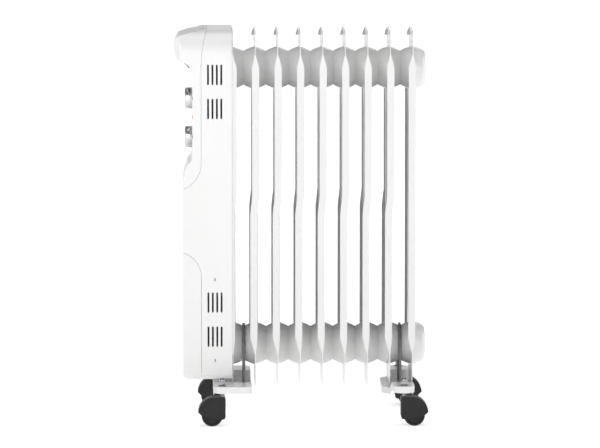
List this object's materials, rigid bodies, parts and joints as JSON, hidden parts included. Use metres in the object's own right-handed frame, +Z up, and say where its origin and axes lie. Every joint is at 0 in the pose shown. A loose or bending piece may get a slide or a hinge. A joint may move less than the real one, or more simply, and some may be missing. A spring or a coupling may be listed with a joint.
{
  "type": "oil filled radiator heater",
  "caption": "White portable oil filled column heater with slim steel fins, a plastic control housing with two round knobs, and swivelling twin-wheel casters.",
  "frame": {"origin": "on the floor, under the middle of the overall length and depth", "axes": "+Z up, +X from the control housing toward the last fin, +Y across the fins"},
  "size_m": [0.4087, 0.262, 0.6365],
  "materials": {
    "fin_enamel": "gloss white enamel",
    "housing_plastic": "gloss white moulded plastic",
    "dark_plastic": "matt charcoal",
    "bracket_enamel": "gloss white enamel",
    "zinc_steel": "dull zinc plate",
    "silver_knob": "silver metallised",
    "chrome_nut": "bright chrome plate",
    "element_sheath": "oxidised sheath",
    "gasket_rubber": "matt",
    "device_plastic": "matt cream",
    "amber_lens": "clear amber",
    "caster_plastic": "satin black",
    "axle_steel": "bright steel"
  },
  "bodies": {
    "heater": {"fin_1": "fin_enamel", "fin_2": "fin_enamel", "fin_3": "fin_enamel", "fin_4": "fin_enamel", "fin_5": "fin_enamel", "fin_6": "fin_enamel", "fin_7": "fin_enamel", "fin_8": "fin_enamel", "fin_9": "fin_enamel", "end_cap_lower": "fin_enamel", "end_cap_upper": "fin_enamel", "side_housing": "housing_plastic", "control_panel": "housing_plastic", "lower_cover": "housing_plastic", "grip_liner": "dark_plastic", "cord_grommet": "dark_plastic", "front_bracket": "bracket_enamel", "rear_bracket": "bracket_enamel", "front_u_bolt": "zinc_steel", "rear_u_bolt": "zinc_steel", "u_bolt_nuts": "zinc_steel", "heat_shield": "zinc_steel", "control_plate": "zinc_steel", "housing_screws": "zinc_steel", "caster_stems": "zinc_steel", "header_plug_upper": "zinc_steel", "filler_plug": "zinc_steel", "heater_flange": "zinc_steel", "thermal_cutout": "zinc_steel", "caster_nuts": "chrome_nut", "heating_element": "element_sheath", "heater_gasket": "gasket_rubber", "selector_switch": "device_plastic", "thermostat": "device_plastic", "terminal_block": "device_plastic", "tilt_switch": "device_plastic", "indicator_lamp": "amber_lens"},
    "power_selector": {"power_knob": "silver_knob", "power_shaft": "zinc_steel"},
    "thermostat_control": {"thermostat_knob": "silver_knob", "thermostat_shaft": "zinc_steel"},
    "front_left_caster": {"front_left_hood": "caster_plastic", "front_left_axle": "axle_steel"},
    "front_left_left_wheel_body": {"front_left_left_wheel": "caster_plastic"},
    "front_left_right_wheel_body": {"front_left_right_wheel": "caster_plastic"},
    "front_right_caster": {"front_right_hood": "caster_plastic", "front_right_axle": "axle_steel"},
    "front_right_left_wheel_body": {"front_right_left_wheel": "caster_plastic"},
    "front_right_right_wheel_body": {"front_right_right_wheel": "caster_plastic"},
    "rear_left_caster": {"rear_left_hood": "caster_plastic", "rear_left_axle": "axle_steel"},
    "rear_left_left_wheel_body": {"rear_left_left_wheel": "caster_plastic"},
    "rear_left_right_wheel_body": {"rear_left_right_wheel": "caster_plastic"},
    "rear_right_caster": {"rear_right_hood": "caster_plastic", "rear_right_axle": "axle_steel"},
    "rear_right_left_wheel_body": {"rear_right_left_wheel": "caster_plastic"},
    "rear_right_right_wheel_body": {"rear_right_right_wheel": "caster_plastic"}
  },
  "joints": [
    {"name": "power_selector_turn", "type": "hinge", "parent": "heater", "child": "power_selector", "pos_m": [-0.18105, 0, 0.52], "axis": [1, 0, 0], "range_deg": [0, 135]},
    {"name": "thermostat_turn", "type": "hinge", "parent": "heater", "child": "thermostat_control", "pos_m": [-0.18105, 0, 0.457], "axis": [1, 0, 0], "range_deg": [0, 270]},
    {"name": "front_left_swivel", "type": "hinge", "parent": "heater", "child": "front_left_caster", "pos_m": [-0.12835, -0.117, 0.04], "axis": [0, 0, 1], "continuous": true},
    {"name": "front_left_left_wheel_spin", "type": "hinge", "parent": "front_left_caster", "child": "front_left_left_wheel_body", "pos_m": [-0.14435, -0.117, 0.017], "axis": [0, 1, 0], "continuous": true},
    {"name": "front_left_right_wheel_spin", "type": "hinge", "parent": "front_left_caster", "child": "front_left_right_wheel_body", "pos_m": [-0.14435, -0.117, 0.017], "axis": [0, 1, 0], "continuous": true},
    {"name": "front_right_swivel", "type": "hinge", "parent": "heater", "child": "front_right_caster", "pos_m": [-0.12835, 0.117, 0.04], "axis": [0, 0, 1], "continuous": true},
    {"name": "front_right_left_wheel_spin", "type": "hinge", "parent": "front_right_caster", "child": "front_right_left_wheel_body", "pos_m": [-0.14435, 0.117, 0.017], "axis": [0, 1, 0], "continuous": true},
    {"name": "front_right_right_wheel_spin", "type": "hinge", "parent": "front_right_caster", "child": "front_right_right_wheel_body", "pos_m": [-0.14435, 0.117, 0.017], "axis": [0, 1, 0], "continuous": true},
    {"name": "rear_left_swivel", "type": "hinge", "parent": "heater", "child": "rear_left_caster", "pos_m": [0.16555, -0.117, 0.04], "axis": [0, 0, 1], "continuous": true},
    {"name": "rear_left_left_wheel_spin", "type": "hinge", "parent": "rear_left_caster", "child": "rear_left_left_wheel_body", "pos_m": [0.18155, -0.117, 0.017], "axis": [0, 1, 0], "continuous": true},
    {"name": "rear_left_right_wheel_spin", "type": "hinge", "parent": "rear_left_caster", "child": "rear_left_right_wheel_body", "pos_m": [0.18155, -0.117, 0.017], "axis": [0, 1, 0], "continuous": true},
    {"name": "rear_right_swivel", "type": "hinge", "parent": "heater", "child": "rear_right_caster", "pos_m": [0.16555, 0.117, 0.04], "axis": [0, 0, 1], "continuous": true},
    {"name": "rear_right_left_wheel_spin", "type": "hinge", "parent": "rear_right_caster", "child": "rear_right_left_wheel_body", "pos_m": [0.18155, 0.117, 0.017], "axis": [0, 1, 0], "continuous": true},
    {"name": "rear_right_right_wheel_spin", "type": "hinge", "parent": "rear_right_caster", "child": "rear_right_right_wheel_body", "pos_m": [0.18155, 0.117, 0.017], "axis": [0, 1, 0], "continuous": true}
  ]
}
